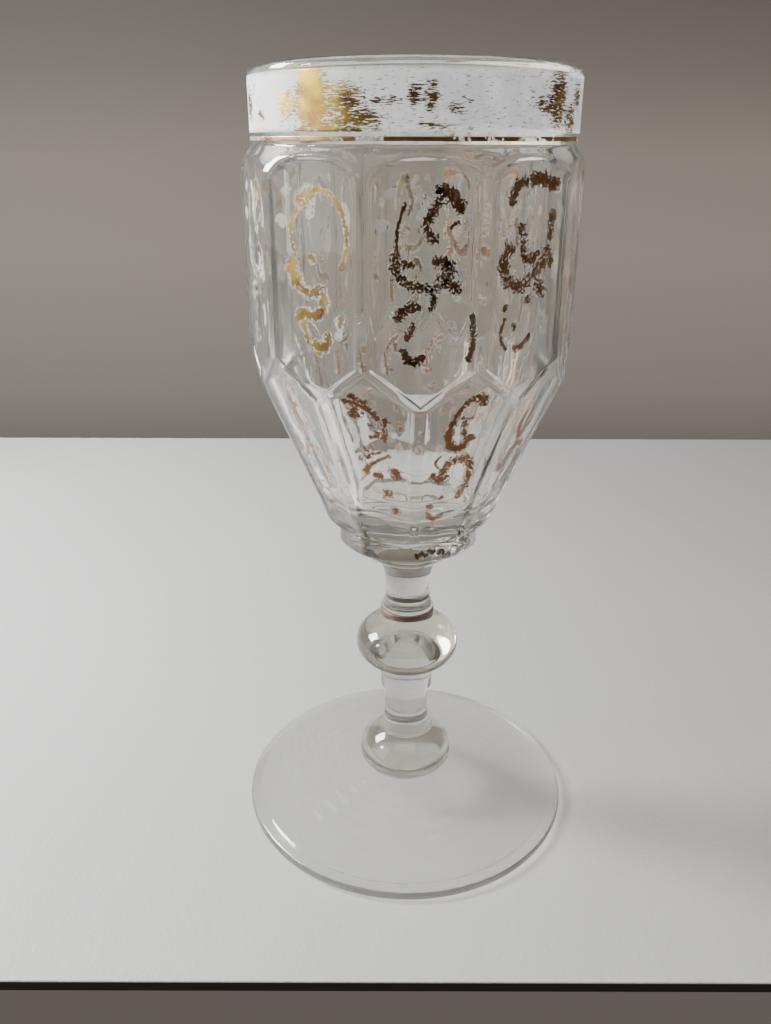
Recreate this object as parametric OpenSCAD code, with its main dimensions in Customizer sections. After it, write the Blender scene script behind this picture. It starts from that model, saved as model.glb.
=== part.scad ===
// Stemmed wine glass with ten flat panels round the bowl and worn gilding.
// The glass gathers are fused face to face, and the gilding lies on them as thin films.
// The axis is Z, the table is z = 0, and the middle of one upper panel faces -Y.

/* [Foot] */
// Diameter of the foot over its rounded edge
foot_d = 76.7; // [68:0.1:95]
// Thickness of the foot at its edge
foot_edge_h = 2.4; // [1.8:0.1:3.6]
// Height of the foot where the foot knop sits on it
foot_h = 8; // [6.6:0.1:10]
// Width of the flat ring that the glass stands on
rest_w = 6; // [4:0.1:9]
// Depth of the hollow under the foot
foot_hollow_h = 2.2; // [1:0.1:3]

/* [Foot knop] */
// Largest diameter of the flattened knop on the foot
foot_knop_d = 22.1; // [19:0.1:28]
// Height of the knop on the foot
foot_knop_h = 10.2; // [8.5:0.1:12.5]
// Height of its widest line above the foot
foot_knop_line_h = 3.2; // [2.4:0.1:4.2]
// How far the knop draws in from its widest line down to the foot
foot_knop_undercut = 2.5; // [1.5:0.1:3.5]

/* [Lower stem] */
// Length of the stem below the main knop
lower_stem_h = 17.7; // [14.5:0.1:22]
// Diameter of the drum under the main knop
drum_d = 12.1; // [11:0.1:14.6]
// Height of the drum under the main knop
drum_h = 6.3; // [4:0.1:7.6]
// Diameter of the waist between drum and foot knop
lower_waist_d = 10.2; // [8.4:0.1:11]
// Diameter of the flared end on the foot knop
lower_flare_d = 12.8; // [11.4:0.1:15.4]

/* [Main knop] */
// Largest diameter of the main knop
knop_d = 23.6; // [19.6:0.1:28.4]
// Height that the main knop would have without its two fused faces
knop_full_h = 14.3; // [11.9:0.1:17.2]

/* [Upper stem] */
// Length of the stem between main knop and collar
upper_stem_h = 16.9; // [14:0.1:20.3]
// Diameter of the plain land on the main knop
land_d = 12; // [10.8:0.1:14.4]
// Height of the plain land on the main knop
land_h = 3.1; // [2.4:0.1:3.8]
// Diameter of the waist of the upper stem
upper_waist_d = 9.9; // [8.2:0.1:10.6]
// Diameter of the flared end under the collar
upper_flare_d = 17.2; // [14.4:0.1:20.6]

/* [Collar] */
// How far the corners of the facets stand out past the seat of the bowl
collar_w = 1.7; // [1.2:0.1:3]
// Height of the whole collar with the step ring under it
collar_h = 8.2; // [7.2:0.1:9.8]
// How far the step ring stands out past the flared end of the stem
step_ring_w = 1.3; // [0.8:0.1:2]
// Height of the step ring
step_ring_h = 2.4; // [1.8:0.1:2.9]
// Height of the faceted edge
collar_edge_h = 3.2; // [2.6:0.1:3.8]
// Height of the bevel above the faceted edge
collar_bevel_h = 0.8; // [0.4:0.1:1]
// How far the facets sit round from the ridges of the bowl
collar_turn = -5; // [-18:1:18]

/* [Bowl] */
// Height of the bowl from the collar to the lip
bowl_h = 88.2; // [73.5:0.1:106]
// Diameter over the raised strips between the panels
bowl_d = 64.9; // [54:0.1:78]
// How far the strips stand out past the plain rim
shoulder_w = 2.25; // [1.6:0.05:3]
// Height of the plain rim
rim_h = 12.2; // [10.2:0.1:14.6]
// Thickness of the rim
rim_wall = 2.4; // [1.8:0.1:3.6]
// Depth of the groove under the rim
rim_groove = 0.3; // [0.1:0.05:0.5]
// Height of the tapered part, from its start above the base to the widest line
taper_h = 30.6; // [26:0.1:36.6]
// Diameter at the start of the taper
taper_d = 38.8; // [34:0.1:46]
// Height of the rounded base below the taper
bowl_base_h = 5.6; // [4.7:0.1:6.6]
// Diameter of the face that is fused to the collar
bowl_seat_d = 27.6; // [23:0.1:33.1]
// Thickness of the glass under the inside
bowl_floor = 6; // [5:0.1:8]
// Thickness of the tapered wall, measured level
taper_wall = 4.2; // [3.4:0.1:5.2]
// Radius between the tapered side and the floor of the inside
floor_round = 5.5; // [3:0.1:7]
// Radius where the tapered part turns into the upright wall
turn_round = 45; // [20:1:60]
// Radius of the shoulder under the rim
shoulder_round = 7.5; // [5:0.1:9]

/* [Panels] */
// Number of panels in each row
panels = 10; // [8:1:12]
// Width of the raised strips between the upper panels
strip_w = 1.9; // [1.2:0.1:2.6]

/* [Gilding] */
// Thickness of the gilding
film = 0.12; // [0.08:0.01:0.2]
// Clear glass between the gilded band and the rounding of the lip
band_gap = 0.4; // [0.2:0.1:2.5]
// Height of the fine gilded line under the band
line_h = 0.7; // [0.4:0.1:0.9]
// Height of the gilded ring on the stem
stem_ring_h = 1.4; // [1.1:0.1:1.8]
// Width of a scroll's stroke
stroke_w = 1.1; // [0.7:0.1:1.5]

/* [Hidden] */
$fn = 96;

glass = "lightblue";
gilt = "goldenrod";
arc_steps = 12;
pitch = 360 / panels;
// Small chamfer and step on turned corners
chamfer = 0.4;
// Gap between the fine gilded line and what is above and below it
line_gap = 0.7;

// Heights of the fused faces, one on the other
z_foot_knop = foot_h;
z_lower_stem = z_foot_knop + foot_knop_h;
z_knop = z_lower_stem + lower_stem_h;
// The knop is an ellipse cut level where the drum and the land meet it
knop_below = knop_full_h / 2 * sqrt(1 - pow(drum_d / knop_d, 2));
knop_above = knop_full_h / 2 * sqrt(1 - pow(land_d / knop_d, 2));
z_upper_stem = z_knop + knop_below + knop_above;
z_collar = z_upper_stem + upper_stem_h;
z_bowl = z_collar + collar_h;
z_lip = z_bowl + bowl_h;

// Bowl stations
z_taper = z_bowl + bowl_base_h;
z_turn = z_taper + taper_h;
z_rim = z_lip - rim_h;
taper_slope = (bowl_d - taper_d) / 2 / taper_h;
taper_angle = atan(taper_slope);
rim_d = bowl_d - 2 * shoulder_w;
lip_round = rim_wall / 2;
inside_r = rim_d / 2 - rim_wall;
foot_knop_seat_d = foot_knop_d - 2 * foot_knop_undercut;
collar_d = bowl_seat_d + 2 * collar_w;
step_ring_d = upper_flare_d + 2 * step_ring_w;
z_collar_edge = z_bowl - collar_bevel_h;

// Panel planes: each stands in from the strips by the flat's depth
function flat_reach(r) = r * cos(pitch / 2 - asin(strip_w / 2 / r));
upper_reach = flat_reach(bowl_d / 2);
lower_reach = flat_reach(taper_d / 2);
lower_lean = atan((upper_reach - lower_reach) / taper_h);
panel_w = 2 * upper_reach * tan(pitch / 2) - strip_w;

// Points on an arc with radii a and b about [cx, cy]
function arc(cx, cy, a, b, from, to) =
    [for (i = [0 : arc_steps]) let (t = from + (to - from) * i / arc_steps)
        [cx + a * cos(t), cy + b * sin(t)]];

// Concave waist from height z to z + h, with the radii low, mid and high up its length.
// Two arcs meet at the narrowest place, which is nearer to the end that flares less.
function waist(low, mid, high, h, z) =
    let (p = low - mid, q = high - mid, s = sqrt(p / q), d = h * s / (1 + s),
         r1 = (d * d + p * p) / (2 * p), r2 = ((h - d) * (h - d) + q * q) / (2 * q),
         a1 = asin(d / r1), a2 = asin((h - d) / r2))
    concat([for (i = [0 : arc_steps]) let (t = a1 - a1 * i / arc_steps)
                [mid + r1 * (1 - cos(t)), z + d - r1 * sin(t)]],
           [for (i = [1 : arc_steps]) let (t = a2 * i / arc_steps)
                [mid + r2 * (1 - cos(t)), z + d + r2 * sin(t)]]);

module turned(points) {
    rotate_extrude() polygon(points);
}

module foot() {
    edge = foot_edge_h / 2;
    rest_r = foot_d / 2 - edge;
    seat_r = foot_knop_seat_d / 2;
    span = rest_r - seat_r;
    top = [for (i = [0 : arc_steps]) let (t = i / arc_steps)
        [rest_r - span * t, foot_edge_h + (foot_h - foot_edge_h) * pow(t, 1.4)]];
    color(glass) turned(concat(
        [[0, foot_hollow_h], [rest_r - rest_w, 0]],
        arc(rest_r, edge, edge, edge, -90, 80),
        top,
        [[0, foot_h]]));
}

module foot_knop() {
    r = foot_knop_d / 2;
    z_line = z_foot_knop + foot_knop_line_h;
    low = acos(foot_knop_seat_d / foot_knop_d);
    high = acos(lower_flare_d / foot_knop_d);
    color(glass) turned(concat(
        [[0, z_foot_knop]],
        arc(0, z_line, r, foot_knop_line_h / sin(low), -low, 0),
        arc(0, z_line, r, (foot_knop_h - foot_knop_line_h) / sin(high), high / arc_steps, high),
        [[0, z_lower_stem]]));
}

module lower_stem() {
    neck_h = lower_stem_h - drum_h;
    color(glass) turned(concat(
        [[0, z_lower_stem]],
        waist(lower_flare_d / 2, lower_waist_d / 2, drum_d / 2 - chamfer, neck_h, z_lower_stem),
        [[drum_d / 2, z_lower_stem + neck_h + chamfer], [drum_d / 2, z_knop], [0, z_knop]]));
}

module knop() {
    z_line = z_knop + knop_below;
    low = acos(drum_d / knop_d);
    high = acos(land_d / knop_d);
    color(glass) turned(concat(
        [[0, z_knop]],
        arc(0, z_line, knop_d / 2, knop_full_h / 2, -low, 0),
        arc(0, z_line, knop_d / 2, knop_full_h / 2, high / arc_steps, high),
        [[0, z_upper_stem]]));
}

module upper_stem() {
    color(glass) turned(concat(
        [[0, z_upper_stem], [land_d / 2, z_upper_stem]],
        waist(land_d / 2, upper_waist_d / 2, upper_flare_d / 2, upper_stem_h - land_h,
              z_upper_stem + land_h),
        [[0, z_collar]]));
}

// The faceted edge is a prism with one corner near each ridge of the bowl, its corners worn round
module collar() {
    corner_r = collar_d / 2;
    r = corner_r - chamfer / 2;
    ring_r = step_ring_d / 2;
    z_ring = z_collar + step_ring_h;
    color(glass) {
        intersection() {
            turned([[0, z_ring], [(r + ring_r) / 2, z_ring], [r, z_collar_edge - collar_edge_h],
                    [r, z_collar_edge], [bowl_seat_d / 2 + chamfer / 2, z_bowl], [0, z_bowl]]);
            translate([0, 0, z_collar]) rotate([0, 0, -90 + collar_turn])
                linear_extrude(collar_h) circle(corner_r, $fn = panels);
        }
        turned([[0, z_collar], [ring_r - chamfer, z_collar], [ring_r, z_collar + chamfer],
                [ring_r, z_ring], [0, z_ring]]);
    }
}

// Outer shape of the bowl before its panels are cut
module bowl_blank() {
    r = bowl_d / 2;
    rim_r = rim_d / 2;
    groove_r = rim_r - rim_groove;
    // Rounded turn between taper and upright wall, tangent to both
    z_arc = z_turn + turn_round * tan(taper_angle / 2);
    // Rounded shoulder that ends on the groove
    fall = acos(1 - (r - groove_r) / shoulder_round);
    z_shoulder = z_rim - rim_groove * 2 - shoulder_round * sin(fall);
    turned(concat(
        [[0, z_bowl]],
        arc(bowl_seat_d / 2, z_taper, taper_d / 2 - bowl_seat_d / 2, bowl_base_h, -90, 0),
        arc(r - turn_round, z_arc, turn_round, turn_round, -taper_angle, 0),
        arc(r - shoulder_round, z_shoulder, shoulder_round, shoulder_round, 0, fall),
        [[rim_r, z_rim]],
        arc(rim_r - lip_round, z_lip - lip_round, lip_round, lip_round, 0, 90),
        [[0, z_lip]]));
}

// Inside of the bowl: upright, then tapered like the outside, with a rounded floor
module bowl_inside() {
    z_floor = z_bowl + bowl_floor;
    z_side = z_floor + floor_round;
    side_r = taper_d / 2 + taper_slope * (z_side - z_taper) - taper_wall;
    z_slope_top = z_turn + (inside_r - bowl_d / 2 + taper_wall) / taper_slope;
    lip_r = inside_r + lip_round;
    turned(concat(
        [[0, z_floor]],
        arc(side_r - floor_round, z_side, floor_round, floor_round, -90, -taper_angle),
        arc(inside_r - turn_round, z_slope_top + turn_round * tan(taper_angle / 2),
            turn_round, turn_round, -taper_angle, 0),
        arc(lip_r, z_lip - lip_round, lip_round, lip_round, 180, 90),
        [[lip_r, z_lip + 1], [0, z_lip + 1]]));
}

// Everything outside one flat, leaning out by lean degrees from z0 upward
module outside_flat(reach, z0, lean) {
    size = bowl_d * 2;
    translate([0, -reach, z0]) rotate([lean, 0, 0]) translate([-size / 2, -size, -size / 2])
        cube([size, size, size]);
}

module bowl() {
    color(glass) difference() {
        bowl_blank();
        bowl_inside();
        for (i = [0 : panels - 1]) {
            rotate([0, 0, i * pitch]) outside_flat(upper_reach, z_turn, 0);
            rotate([0, 0, (i + 0.5) * pitch]) outside_flat(upper_reach, z_turn, lower_lean);
        }
    }
}

module gilt_ring(r, z, h) {
    color(gilt) translate([0, 0, z]) difference() {
        cylinder(r = r + film, h = h);
        translate([0, 0, -1]) cylinder(r = r, h = h + 2);
    }
}

module rim_gilt_line() {
    gilt_ring(rim_d / 2, z_rim + chamfer / 4, line_h);
}

module rim_gilt_band() {
    z_band = z_rim + line_h + line_gap;
    gilt_ring(rim_d / 2, z_band, z_lip - lip_round - band_gap - z_band);
}

module stem_gilt_ring() {
    gilt_ring(land_d / 2, z_upper_stem + land_h - stem_ring_h - chamfer / 2, stem_ring_h);
}

// One stroke of a scroll: a piece of a ring about c
module stroke(c, r, from, to, w = stroke_w) {
    far = 2 * (r + w);
    translate(c) intersection() {
        difference() {
            circle(r + w / 2);
            circle(r - w / 2);
        }
        polygon(concat([[0, 0]], [for (i = [0 : 6]) let (t = from + (to - from) * i / 6)
            far * [cos(t), sin(t)]]));
    }
}

module leaf(c, r) {
    translate(c) circle(r);
}

// Upper scroll: an open bowl-shaped C, an S above it that ends in a hook, and a crescent below
module upper_scroll_outline() {
    stroke([0, -1], 5, 185, 350);
    stroke([3.4, 6.6], 5, 120, 235);
    stroke([2.2, 11.2], 2.6, -20, 110);
    stroke([-1.6, -10.8], 2.6, 190, 350);
    leaf([-5.6, 1.1], 0.9);
    leaf([5.4, 0.2], 0.8);
    leaf([0.4, 2.2], 0.7);
}

// Lower scroll: a G-shaped curl, an arch under it and a crescent at the foot of the panel
module lower_scroll_outline() {
    stroke([-0.4, 7.4], 3.4, 60, 300);
    stroke([1.3, 5.8], 1.2, 0, 180);
    stroke([1.2, -4.4], 3.4, 20, 200);
    stroke([0, -10.6], 2.6, 200, 340);
    leaf([-3.8, -2.6], 0.9);
    leaf([4.2, 1.6], 0.7);
}

z_upper_scroll = (z_turn + z_rim) / 2 + 0.6;
z_lower_scroll = (z_taper + z_turn) / 2 + 1.6;
upper_panel_h = z_rim - z_turn;
lower_panel_h = taper_h / cos(lower_lean);
upper_scale = min(panel_w / 18.4, upper_panel_h / 39.8);
lower_scale = min(panel_w / 18.4, lower_panel_h / 33);

module upper_scroll(i) {
    color(gilt) rotate([0, 0, (i - 1) * pitch]) translate([0, -upper_reach, z_upper_scroll])
        rotate([90, 0, 0]) linear_extrude(film) scale(upper_scale) upper_scroll_outline();
}

module lower_scroll(i) {
    color(gilt) rotate([0, 0, (i - 0.5) * pitch]) translate([0, -upper_reach, z_turn])
        rotate([90 + lower_lean, 0, 0])
            translate([0, (z_lower_scroll - z_turn) / cos(lower_lean), 0])
                linear_extrude(film) scale(lower_scale) lower_scroll_outline();
}

// Three flecks left on the one facet that faces front right
module collar_gilt() {
    reach = collar_d / 2 * cos(pitch / 2);
    color(gilt) rotate([0, 0, pitch / 2 + collar_turn])
        translate([0, -reach, z_collar_edge - collar_edge_h / 2])
        rotate([90, 0, 0]) linear_extrude(film) scale(collar_edge_h / 3.2) {
            leaf([-1.4, -0.3], 0.8);
            leaf([0.5, 0.3], 0.9);
            leaf([2.4, -0.4], 0.7);
        }
}

bowl();
collar();
upper_stem();
knop();
lower_stem();
foot_knop();
foot();
rim_gilt_band();
rim_gilt_line();
collar_gilt();
stem_gilt_ring();
for (i = [1 : panels]) {
    upper_scroll(i);
    lower_scroll(i);
}
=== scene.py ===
import math
import random

import bpy
import numpy as np
from mathutils import Matrix, Vector


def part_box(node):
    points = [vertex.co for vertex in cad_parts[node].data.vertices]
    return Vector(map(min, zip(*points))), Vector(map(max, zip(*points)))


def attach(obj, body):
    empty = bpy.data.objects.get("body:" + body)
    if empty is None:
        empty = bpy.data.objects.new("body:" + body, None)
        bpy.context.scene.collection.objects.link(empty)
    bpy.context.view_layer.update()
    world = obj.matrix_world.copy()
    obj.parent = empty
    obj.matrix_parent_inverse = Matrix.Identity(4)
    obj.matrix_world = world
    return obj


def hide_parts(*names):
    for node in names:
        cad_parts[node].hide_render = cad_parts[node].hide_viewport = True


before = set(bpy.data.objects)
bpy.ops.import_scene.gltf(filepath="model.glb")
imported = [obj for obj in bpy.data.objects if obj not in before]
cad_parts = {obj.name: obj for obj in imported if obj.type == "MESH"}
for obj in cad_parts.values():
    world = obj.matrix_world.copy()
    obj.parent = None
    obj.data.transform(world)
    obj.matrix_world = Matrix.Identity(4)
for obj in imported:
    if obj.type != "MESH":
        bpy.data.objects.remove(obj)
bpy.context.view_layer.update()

# ---------------------------------------------------------------------------
# Bowl. One thick gather of clear lead glass with a plain rim, a rounded shoulder, ten upright
# panels and ten leaning ones. The panels are pressed a little below the narrow raised strips
# that frame them. Its seat is fused to the collar, so no face shows there.
# ---------------------------------------------------------------------------
MM = 0.001
PANELS = 10
HALF_PITCH = math.pi / PANELS
STRIP_HALF = 0.95
DIAGONAL_HALF = 1.25
PANEL_DEPTH = 0.3
STRIP_SLOPE = 0.35
RIM_WALL = 2.4
TAPER_WALL = 4.2
FLOOR_THICKNESS = 6.0
BASE_RADIUS = 19.4
BASE_HEIGHT = 5.6
TAPER_HEIGHT = 30.6
SEAT_RADIUS = 13.9
RIM_RADIUS = 30.2
RIM_HEIGHT = 12.2
GROOVE_RADIUS = 29.9
SHOULDER_RADIUS = 7.5
SHOULDER_CENTRE = 6.24
SHOULDER_FOOT = 6.3
INSIDE_CORNER = 5.5
CORNER_WEAR = 0.28
# Rows of points are close together where the two rows of panels meet in a zigzag
ZIGZAG_HALF = 6
ZIGZAG_ROWS = 44
COLUMNS_ON_PANEL = 8
COLUMNS_ON_STRIP = 4
# Where a panel's cut is shallower than this, its sunk face fades out
SHALLOW_CUT = 0.22
INSIDE_UNEVEN = 2.2


def heights(node):
    """Lowest and highest point of a CAD node in millimetres."""
    low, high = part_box(node)
    return low.z / MM, high.z / MM


def reach(node):
    """How far a CAD node reaches from the axis along X and along Y, in millimetres."""
    low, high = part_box(node)
    return high.x / MM, high.y / MM


def soften(points, radius, spacing=0.06):
    """An outline with its corners worn round, as hot glass leaves them."""
    points = np.array(points, float)
    steps = np.hypot(*np.diff(points, axis=0).T)
    along = np.concatenate([[0], np.cumsum(steps)])
    count = int(along[-1] / spacing) + 1
    at = np.linspace(0, along[-1], count)
    dense = np.stack([np.interp(at, along, points[:, i]) for i in (0, 1)], 1)
    reach_steps = max(1, int(2.5 * radius / spacing))
    weights = np.exp(-0.5 * (np.arange(-reach_steps, reach_steps + 1) * spacing / radius) ** 2)
    weights /= weights.sum()
    head = 2 * dense[0] - dense[reach_steps:0:-1]
    tail = 2 * dense[-1] - dense[-2:-reach_steps - 2:-1]
    padded = np.concatenate([head, dense, tail])
    return np.stack([np.convolve(padded[:, i], weights, "valid") for i in (0, 1)], 1)


def thin_out(outline, fine, coarse):
    """Rows where the outline bends are kept close together, and straight lengths get few."""
    step = np.gradient(outline, axis=0)
    heading = np.unwrap(np.arctan2(step[:, 1], step[:, 0]))
    bend = np.abs(np.gradient(heading)) / np.hypot(step[:, 0], step[:, 1])
    gap = np.clip(0.06 / (bend + 1e-6), fine, coarse)
    window = np.ones(21) / 21
    gap = np.convolve(np.pad(gap, 10, mode="edge"), window, "valid")
    length = np.hypot(step[:, 0], step[:, 1])
    row = np.cumsum(length / gap)
    count = int(row[-1]) + 2
    picks = np.searchsorted(row, np.linspace(row[0], row[-1], count))
    return outline[np.unique(np.clip(picks, 0, len(outline) - 1))]


def arc(centre, radii, start, end, steps=24):
    """Points on an ellipse about a centre, between two angles in degrees."""
    return [(centre[0] + radii[0] * math.cos(math.radians(start + (end - start) * i / steps)),
             centre[1] + radii[1] * math.sin(math.radians(start + (end - start) * i / steps)))
            for i in range(steps + 1)]


def new_piece(name, points, faces, materials):
    """A mesh object from points in metres."""
    mesh = bpy.data.meshes.new(name)
    mesh.from_pydata(points, [], faces)
    for material in materials:
        mesh.materials.append(material)
    piece = bpy.data.objects.new(name, mesh)
    bpy.context.scene.collection.objects.link(piece)
    return piece


def gather(name, radius, turn, height, materials, seam_below, seam_above):
    """A closed skin of glass from rows of points that run round the axis. Where it is fused to
    its neighbour, the end has the second material."""
    rows, columns = radius.shape
    height = np.broadcast_to(height, radius.shape)
    points = np.stack([radius * np.sin(turn), -radius * np.cos(turn), height], -1)
    below = [0, 0, height[0].mean()]
    above = [0, 0, height[-1].mean()]
    points = np.concatenate([points.reshape(-1, 3), [below, above]]) * MM
    j = np.arange(columns)
    k = (j + 1) % columns
    faces = []
    for i in range(rows - 1):
        faces += np.stack([i * columns + j, i * columns + k,
                           (i + 1) * columns + k, (i + 1) * columns + j], 1).tolist()
    top = (rows - 1) * columns
    faces += np.stack([np.full(columns, rows * columns), k, j], 1).tolist()
    faces += np.stack([np.full(columns, rows * columns + 1), top + j, top + k], 1).tolist()
    piece = new_piece(name, points.tolist(), faces, materials)
    walls = (rows - 1) * columns
    slot = np.zeros(len(faces), np.int32)
    slot[walls:walls + columns] = 1 if seam_below else 0
    slot[walls + columns:] = 1 if seam_above else 0
    piece.data.polygons.foreach_set("material_index", slot)
    piece.data.polygons.foreach_set("use_smooth", slot == 0)
    piece.data.update()
    return piece


def new_group(name, inputs, outputs):
    """An empty shader node group with number and colour sockets."""
    group = bpy.data.node_groups.new(name, "ShaderNodeTree")
    for label, kind, value in inputs:
        socket = group.interface.new_socket(label, in_out="INPUT", socket_type=kind)
        socket.default_value = value
    for label, kind in outputs:
        group.interface.new_socket(label, in_out="OUTPUT", socket_type=kind)
    return group, group.nodes.new("NodeGroupInput"), group.nodes.new("NodeGroupOutput")


def math_node(tree, operation, first, second, clamp=False):
    """A Math node fed by sockets or plain numbers."""
    node = tree.nodes.new("ShaderNodeMath")
    node.operation = operation
    node.use_clamp = clamp
    for socket, value in zip(node.inputs, (first, second)):
        if isinstance(value, bpy.types.NodeSocket):
            tree.links.new(value, socket)
        else:
            socket.default_value = value
    return node.outputs[0]


def scale_and_add(tree, value, scale, add, clamp=False):
    """A value times one number plus another."""
    result = math_node(tree, "MULTIPLY_ADD", value, scale, clamp)
    result.node.inputs[2].default_value = add
    return result


def noise(tree, place, scale, detail=2.0, rough=0.5, stretch=(1, 1, 1)):
    """Noise over the place given, drawn out along an axis where stretch says so."""
    mapping = tree.nodes.new("ShaderNodeMapping")
    mapping.inputs["Scale"].default_value = stretch
    tree.links.new(place, mapping.inputs["Vector"])
    texture = tree.nodes.new("ShaderNodeTexNoise")
    texture.inputs["Scale"].default_value = scale
    texture.inputs["Detail"].default_value = detail
    texture.inputs["Roughness"].default_value = rough
    tree.links.new(mapping.outputs[0], texture.inputs["Vector"])
    return texture.outputs["Fac"]


# Old glass: smears that dull the polish, small waves left by the tools, and fine scratches
handling, handling_in, handling_out = new_group(
    "Handled glass",
    [("Most roughness", "NodeSocketFloat", 0.05)],
    [("Roughness", "NodeSocketFloat"), ("Height", "NodeSocketFloat")])
place = handling.nodes.new("ShaderNodeNewGeometry").outputs["Position"]
smear = noise(handling, place, 120, 3, 0.6)
smear = scale_and_add(handling, smear, 2.4, -0.9, True)
rough = math_node(handling, "MULTIPLY", smear, handling_in.outputs["Most roughness"])
handling.links.new(rough, handling_out.inputs["Roughness"])
waves = noise(handling, place, 90, 1, 0.4, (1, 1, 0.35))
cords = noise(handling, place, 420, 2, 0.5, (1, 1, 0.2))
scratches = noise(handling, place, 2600, 2, 0.7, (1, 1, 0.05))
fine = math_node(handling, "MULTIPLY", cords, 0.24)
finer = math_node(handling, "MULTIPLY", scratches, 0.01)
height = math_node(handling, "ADD", waves, math_node(handling, "ADD", fine, finer))
handling.links.new(height, handling_out.inputs["Height"])


def new_material(name):
    """A material with its node tree and its shader."""
    material = bpy.data.materials.new(name)
    material.use_nodes = True
    return material, material.node_tree, material.node_tree.nodes["Principled BSDF"]


def raise_surface(tree, shader, height, distance):
    """Bumps as high as a distance in metres."""
    bump = tree.nodes.new("ShaderNodeBump")
    bump.inputs["Distance"].default_value = distance
    tree.links.new(height, bump.inputs["Height"])
    tree.links.new(bump.outputs[0], shader.inputs["Normal"])


def clear_glass(name, tint, passed, most_roughness, clear=0.96):
    """Clear glass with handling marks. The share that is not clear is the haze of fine wear.
    Lamps reach through it, dimmed by the colour passed."""
    material, tree, shader = new_material(name)
    shader.inputs["Base Color"].default_value = (*tint, 1)
    shader.inputs["Transmission Weight"].default_value = clear
    shader.inputs["IOR"].default_value = 1.5
    marks = tree.nodes.new("ShaderNodeGroup")
    marks.node_tree = handling
    marks.inputs["Most roughness"].default_value = most_roughness
    tree.links.new(marks.outputs["Roughness"], shader.inputs["Roughness"])
    raise_surface(tree, shader, marks.outputs["Height"], 0.00018)
    lamp_light = tree.nodes.new("ShaderNodeBsdfTransparent")
    lamp_light.inputs["Color"].default_value = (*passed, 1)
    path = tree.nodes.new("ShaderNodeLightPath")
    mix = tree.nodes.new("ShaderNodeMixShader")
    tree.links.new(path.outputs["Is Shadow Ray"], mix.inputs[0])
    tree.links.new(shader.outputs[0], mix.inputs[1])
    tree.links.new(lamp_light.outputs[0], mix.inputs[2])
    tree.links.new(mix.outputs[0], tree.nodes["Material Output"].inputs["Surface"])
    return material


# Where two gathers are fused the glass runs on, so nothing shows
fused, tree, shader = new_material("Fused glass")
tree.nodes.remove(shader)
open_face = tree.nodes.new("ShaderNodeBsdfTransparent")
tree.links.new(open_face.outputs[0], tree.nodes["Material Output"].inputs["Surface"])

bowl_low, bowl_high = heights("bowl")
strip_radius, panel_distance = reach("bowl")
z_taper = bowl_low + BASE_HEIGHT
z_turn = z_taper + TAPER_HEIGHT
z_rim = bowl_high - RIM_HEIGHT
inside_radius = RIM_RADIUS - RIM_WALL
taper_slope = (strip_radius - BASE_RADIUS) / TAPER_HEIGHT
base_distance = BASE_RADIUS * math.cos(HALF_PITCH - math.asin(STRIP_HALF / BASE_RADIUS))
lean_slope = (panel_distance - base_distance) / TAPER_HEIGHT
lean = math.atan(lean_slope)
lip = RIM_WALL / 2

outer = [(SEAT_RADIUS, bowl_low)]
outer += arc((SEAT_RADIUS, z_taper), (BASE_RADIUS - SEAT_RADIUS, BASE_HEIGHT), -84, 0)
outer += [(strip_radius, z_turn), (strip_radius, z_rim - SHOULDER_FOOT)]
outer += arc((strip_radius - SHOULDER_RADIUS, z_rim - SHOULDER_CENTRE),
             (SHOULDER_RADIUS, SHOULDER_RADIUS), 0, 48)
outer += [(GROOVE_RADIUS, z_rim - 0.4), (RIM_RADIUS, z_rim), (RIM_RADIUS, bowl_high - lip)]
outer += arc((RIM_RADIUS - lip, bowl_high - lip), (lip, lip), 6, 90, 16)
outer = soften(outer, CORNER_WEAR)
side_z = bowl_low + FLOOR_THICKNESS + INSIDE_CORNER
side_r = BASE_RADIUS + taper_slope * (side_z - z_taper) - TAPER_WALL
slope_top = z_turn + (inside_radius - strip_radius + TAPER_WALL) / taper_slope
inner = arc((inside_radius + lip, bowl_high - lip), (lip, lip), 90, 174, 16)
inner += [(inside_radius, slope_top), (side_r, side_z)]
inner += arc((side_r - INSIDE_CORNER, side_z), (INSIDE_CORNER, INSIDE_CORNER), 0, -90)
inner += [(0.4, bowl_low + FLOOR_THICKNESS)]
inner = soften(inner, CORNER_WEAR)[3:]
inner[:, 0] = np.maximum(inner[:, 0], 0.3)

outer = thin_out(outer, 0.12, 0.9)
zigzag = (outer[:, 1] > z_turn - ZIGZAG_HALF) & (outer[:, 1] < z_turn + ZIGZAG_HALF)
low_z, high_z = outer[zigzag, 1].min(), outer[zigzag, 1].max()
fill_z = np.linspace(low_z, high_z, ZIGZAG_ROWS)
fill = np.stack([np.interp(fill_z, outer[:, 1], outer[:, 0]), fill_z], 1)
first = int(np.argmax(zigzag))
last = len(outer) - int(np.argmax(zigzag[::-1]))
outer = np.concatenate([outer[:first], fill, outer[last:]])
inner = thin_out(inner, 0.18, 1.2)


def smooth_step(value):
    """A soft rise from 0 to 1."""
    value = np.clip(value, 0, 1)
    return value * value * (3 - 2 * value)


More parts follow.
